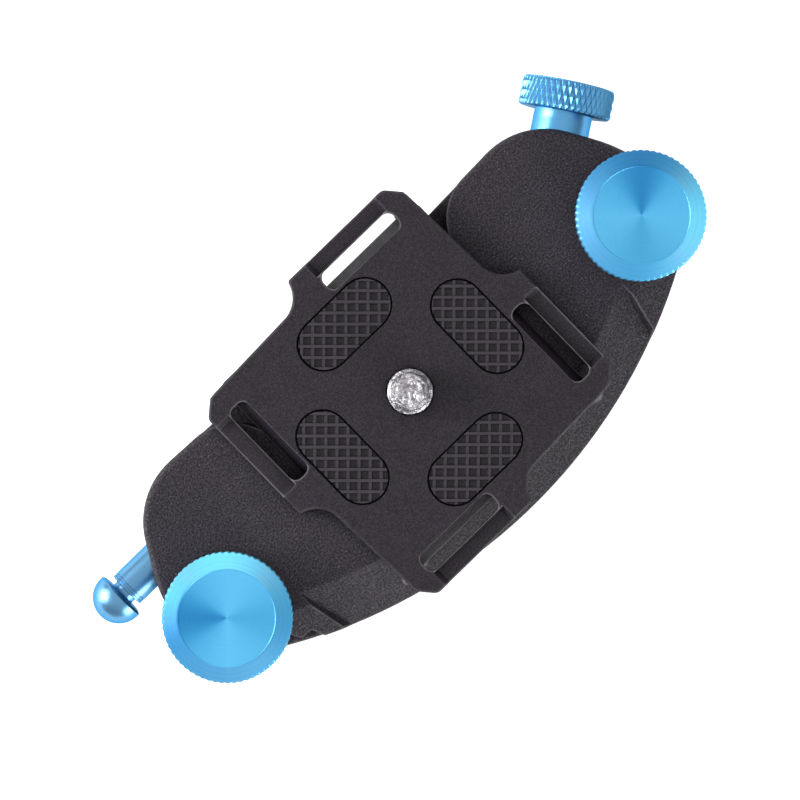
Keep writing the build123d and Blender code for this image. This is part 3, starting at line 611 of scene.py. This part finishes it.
def make_pad(name, cx, cy, turned_90, phase):
    L, W = (7.0, 14.78) if turned_90 else (14.78, 7.0)
    pts = stadium(14.78, 6.98)
    if turned_90:
        pts = [(-y, x) for x, y in pts]
    pts = [(x + cx, y + cy) for x, y in pts]
    bm = bmesh.new()
    prism(bm, pts, PAD_BOTTOM, DECK_Z1 + 0.05)
    ob = to_object(bm, name)
    # pits: square wells in rows along the image's two directions
    cut = bmesh.new()
    ang = -A_IMG
    ca, sa = math.cos(ang), math.sin(ang)
    reach = 9
    for i in range(-reach, reach + 1):
        for j in range(-reach, reach + 1):
            u = (i + phase[0]) * PAD_PITCH_V
            v = (j + phase[1]) * PAD_PITCH_H
            x, y = cx + u * ca - v * sa, cy + u * sa + v * ca
            if abs(x - cx) > L / 2 + 1 or abs(y - cy) > W / 2 + 1:
                continue
            wu, wv = 1.20, 1.18           # pit size at the top
            bu, bv = 0.96, 0.92           # and at the bottom

            def q(a, b, z):
                return cut.verts.new(((x + a * ca - b * sa) * MM, (y + a * sa + b * ca) * MM, z * MM))
            zb, zt = DECK_Z1 - 0.62, DECK_Z1 + 0.2
            lo = [q(-bu / 2, -bv / 2, zb), q(bu / 2, -bv / 2, zb), q(bu / 2, bv / 2, zb), q(-bu / 2, bv / 2, zb)]
            hi = [q(-wu / 2, -wv / 2, zt), q(wu / 2, -wv / 2, zt), q(wu / 2, wv / 2, zt), q(-wu / 2, wv / 2, zt)]
            cut.faces.new(list(reversed(lo)))
            cut.faces.new(hi)
            for a in range(4):
                b = (a + 1) % 4
                cut.faces.new((lo[a], lo[b], hi[b], hi[a]))
    for j in range(-reach, reach + 1):
        v = (j + phase[1]) * PAD_PITCH_H
        x, y = cx - v * sa, cy + v * ca
        hu, hv, zb, zt = 12.0, 0.56, DECK_Z1 - 0.10, DECK_Z1 + 0.3

        def g(a, b, z):
            return cut.verts.new(((x + a * ca - b * sa) * MM, (y + a * sa + b * ca) * MM, z * MM))
        lo = [g(-hu, -hv + 0.05, zb), g(hu, -hv + 0.05, zb), g(hu, hv - 0.05, zb), g(-hu, hv - 0.05, zb)]
        hi = [g(-hu, -hv - 0.1, zt), g(hu, -hv - 0.1, zt), g(hu, hv + 0.1, zt), g(-hu, hv + 0.1, zt)]
        cut.faces.new(list(reversed(lo)))
        cut.faces.new(hi)
        for a in range(4):
            b = (a + 1) % 4
            cut.faces.new((lo[a], lo[b], hi[b], hi[a]))
    cutter = to_object(cut, name + "_cut")
    ob = boolean(ob, cutter, "DIFFERENCE")
    ob.data.materials.clear()
    ob.data.materials.append(RUBBER)
    return ob


for nm, cx, cy, t90, ph in (("top", 0, 12.8, False, (0.64, 0.52)), ("right", 12.8, 0, True, (0.4, 0.1)),
                            ("bottom", 0, -12.8, False, (0.78, 0.80)), ("left", -12.8, 0, True, (0.0, 0.4))):
    p = make_pad("pad_" + nm, cx, cy, t90, ph)
    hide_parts("grip_pad_" + nm)
    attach(p, "plate")

# ------------------------------------------------------------------ floor, light, camera
me = bpy.data.meshes.new("floor")
s = 6.0
me.from_pydata([(-s, -s, -1e-5), (s, -s, -1e-5), (s, s, -1e-5), (-s, s, -1e-5)], [], [(0, 1, 2, 3)])
floor = bpy.data.objects.new("floor", me)
scene.collection.objects.link(floor)
fm, fnt, fbs = new_mat("floor_white")
fbs.inputs["Base Color"].default_value = (0.86, 0.86, 0.865, 1)
fbs.inputs["Roughness"].default_value = 0.9
fbs.inputs["Specular IOR Level"].default_value = 0.1
fbs.inputs["Emission Color"].default_value = (1, 1, 1, 1)
fbs.inputs["Emission Strength"].default_value = 0.55
me.materials.append(fm)

world = bpy.data.worlds.new("studio")
scene.world = world
world.use_nodes = True
bg = world.node_tree.nodes["Background"]
bg.inputs["Strength"].default_value = 1.0
_wt = world.node_tree.nodes.new("ShaderNodeTexCoord")
_ws = world.node_tree.nodes.new("ShaderNodeSeparateXYZ")
world.node_tree.links.new(_wt.outputs["Generated"], _ws.inputs[0])
_wr = ramp(world.node_tree, _ws.outputs["Z"], [(0.0, grey(0.34)), (0.35, grey(0.42)), (0.72, grey(0.75)), (0.92, grey(1.0)), (1.0, grey(1.0))])
world.node_tree.links.new(_wr.outputs["Color"], bg.inputs["Color"])

# directions in the picture: right is (cos, -sin) of the tilt, up is (sin, cos)
RIGHT = Vector((math.cos(A_IMG), -math.sin(A_IMG), 0))
UP = Vector((math.sin(A_IMG), math.cos(A_IMG), 0))


def area(name, pos, target, size, power, size_y=None, color=(1, 1, 1)):
    li = bpy.data.lights.new(name, "AREA")
    li.energy, li.color = power, color
    li.shape = "RECTANGLE"
    li.size, li.size_y = size, size_y or size
    ob = bpy.data.objects.new(name, li)
    scene.collection.objects.link(ob)
    ob.location = pos
    ob.rotation_mode = "QUATERNION"
    ob.rotation_quaternion = (Vector(target) - Vector(pos)).to_track_quat("-Z", "Y")
    return ob


def spot_at(r, u, z):
    return RIGHT * r + UP * u + Vector((0, 0, z))


area("key", spot_at(-0.40, 0.02, 0.17), (-0.01, -0.01, 0.02), 0.26, 2.6)
area("top", spot_at(0.05, 0.8, 0.30), (0, 0, 0.02), 0.6, 1.4)
area("low", spot_at(0.50, -0.70, 0.22), (0, 0, 0.02), 0.45, 6.5)

cam = bpy.data.cameras.new("camera")
cam_ob = bpy.data.objects.new("camera", cam)
scene.collection.objects.link(cam_ob)
scene.camera = cam_ob
CAM_D = 600.0                         # mm from the plate's top
PX_MM = 7.34                          # pixels per mm there, of 800
cam.sensor_width = 36.0
cam.lens = 36.0 * CAM_D / (800.0 / PX_MM)
cam.clip_start, cam.clip_end = 0.01, 20.0
cam_ob.location = (-1.76 * MM, 0.13 * MM, (DECK_Z1 + CAM_D) * MM)
rot = Matrix((RIGHT, UP, Vector((0, 0, 1)))).transposed()
cam_ob.rotation_mode = "QUATERNION"
cam_ob.rotation_quaternion = rot.to_quaternion()
